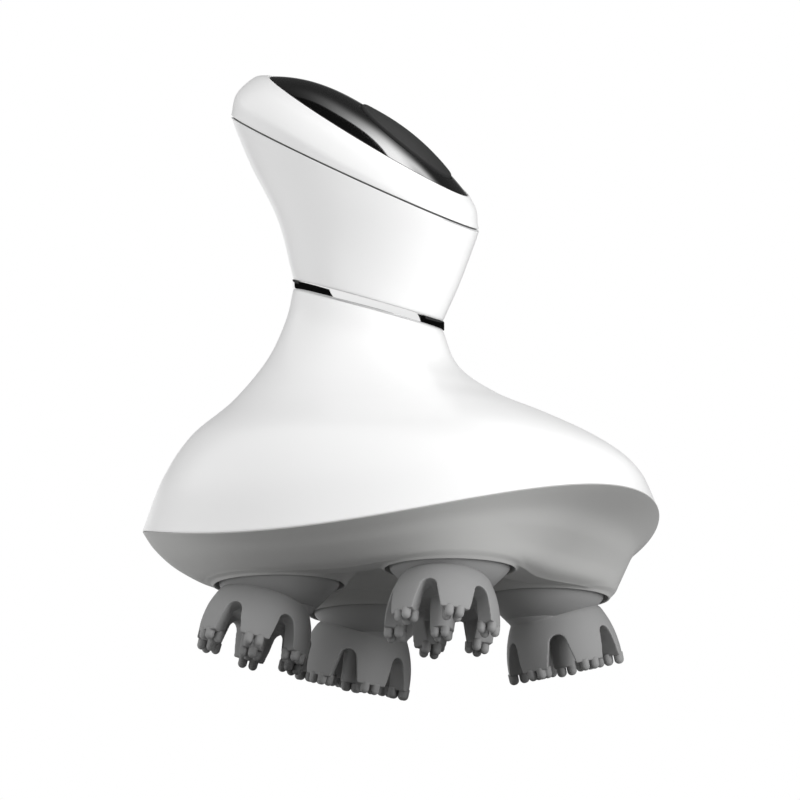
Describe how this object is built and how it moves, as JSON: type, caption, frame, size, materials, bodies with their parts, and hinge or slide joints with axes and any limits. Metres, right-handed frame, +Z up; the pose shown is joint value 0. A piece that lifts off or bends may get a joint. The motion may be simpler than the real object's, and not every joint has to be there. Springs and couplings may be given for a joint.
{
  "type": "electric scalp massager",
  "caption": "Handheld scalp massager: slanted button handle on a waisted body, with claw-like silicone heads that turn and knead under a wide base.",
  "frame": {"origin": "middle of the bounding box on the floor, under the body, with the lowest nodules at z = 0", "axes": "+Z up along the spindles, +X towards the low side of the slanted handle top, +Y across the body"},
  "size_m": [0.1144, 0.1, 0.1351],
  "materials": {
    "shell_white": "white gloss moulding",
    "base_grey": "satin grey moulding",
    "gasket_rubber": "black gasket",
    "ring_chrome": "bright plated ring",
    "inner_plastic": "plain grey moulding",
    "panel_black": "polished black",
    "button_grey": "matte dark grey",
    "board_green": "solder mask",
    "switch_plastic": "plain black",
    "led_clear": "clear resin",
    "screw_steel": "zinc plated",
    "battery_wrap": "shrink wrap round a pouch cell",
    "plug_rubber": "soft light plug",
    "motor_steel": "drawn steel can",
    "shaft_steel": "ground steel",
    "pinion_brass": "machined brass",
    "plate_plastic": "glass filled moulding",
    "gear_plastic": "natural acetal",
    "bush_brass": "sintered bronze",
    "seal_rubber": "black seal",
    "collar_grey": "satin grey moulding",
    "cup_silicone": "soft mid grey silicone"
  },
  "bodies": {
    "housing": {"body_shell": "shell_white", "base_cover": "base_grey", "seam_gasket": "gasket_rubber", "neck_ring": "ring_chrome", "neck_sleeve": "inner_plastic", "handle_shell": "shell_white", "cap_gasket": "gasket_rubber", "top_cap": "shell_white", "control_panel": "panel_black", "main_board": "board_green", "button_switch": "switch_plastic", "status_led": "led_clear", "board_screws": "screw_steel", "battery": "battery_wrap", "battery_cradle": "inner_plastic", "charge_board": "board_green", "charge_port": "screw_steel", "port_plug": "plug_rubber", "motor": "motor_steel", "motor_gearbox": "motor_steel", "motor_screws": "screw_steel", "gear_plate_upper": "plate_plastic", "gear_plate_lower": "plate_plastic", "plate_standoffs": "screw_steel", "gear_screws": "screw_steel", "sun_axle": "shaft_steel", "spindle_bush_1": "bush_brass", "spindle_bush_2": "bush_brass", "spindle_bush_3": "bush_brass", "spindle_bush_4": "bush_brass", "shaft_seal_1": "seal_rubber", "shaft_seal_2": "seal_rubber", "shaft_seal_3": "seal_rubber", "shaft_seal_4": "seal_rubber"},
    "sun": {"sun_gear": "gear_plastic"},
    "pinion": {"drive_pinion": "pinion_brass", "motor_shaft": "shaft_steel"},
    "head_1": {"massage_cup_1": "cup_silicone", "head_collar_1": "collar_grey", "spindle_1": "shaft_steel", "head_gear_1": "gear_plastic"},
    "head_2": {"massage_cup_2": "cup_silicone", "head_collar_2": "collar_grey", "spindle_2": "shaft_steel", "head_gear_2": "gear_plastic"},
    "head_3": {"massage_cup_3": "cup_silicone", "head_collar_3": "collar_grey", "spindle_3": "shaft_steel", "head_gear_3": "gear_plastic"},
    "head_4": {"massage_cup_4": "cup_silicone", "head_collar_4": "collar_grey", "spindle_4": "shaft_steel", "head_gear_4": "gear_plastic"},
    "button": {"power_button": "button_grey"}
  },
  "joints": [
    {"name": "sun_spin", "type": "hinge", "parent": "housing", "child": "sun", "pos_m": [0.0027, 0, 0.031], "axis": [0, 0, 1], "continuous": true},
    {"name": "head_1_spin", "type": "hinge", "parent": "housing", "child": "head_1", "pos_m": [-0.0182, -0.0209, 0.026], "axis": [0, 0, 1], "continuous": true},
    {"name": "head_2_spin", "type": "hinge", "parent": "housing", "child": "head_2", "pos_m": [0.0236, -0.0209, 0.026], "axis": [0, 0, 1], "continuous": true},
    {"name": "head_3_spin", "type": "hinge", "parent": "housing", "child": "head_3", "pos_m": [0.0236, 0.0209, 0.026], "axis": [0, 0, 1], "continuous": true},
    {"name": "head_4_spin", "type": "hinge", "parent": "housing", "child": "head_4", "pos_m": [-0.0182, 0.0209, 0.026], "axis": [0, 0, 1], "continuous": true},
    {"name": "pinion_spin", "type": "hinge", "parent": "housing", "child": "pinion", "pos_m": [-0.0098, 0, 0.036], "axis": [0, 0, 1], "continuous": true},
    {"name": "button_press", "type": "slide", "parent": "housing", "child": "button", "axis": [-0.549, 0, -0.8358], "range_m": [0, 0.0005], "stiffness_N_per_m": 600}
  ],
  "couplings": [
    {"joint": "head_1_spin", "follows": "sun_spin", "ratio": -1.4667},
    {"joint": "head_2_spin", "follows": "sun_spin", "ratio": -1.4667},
    {"joint": "head_3_spin", "follows": "sun_spin", "ratio": -1.4667},
    {"joint": "head_4_spin", "follows": "sun_spin", "ratio": -1.4667},
    {"joint": "pinion_spin", "follows": "sun_spin", "ratio": -2.8571}
  ]
}
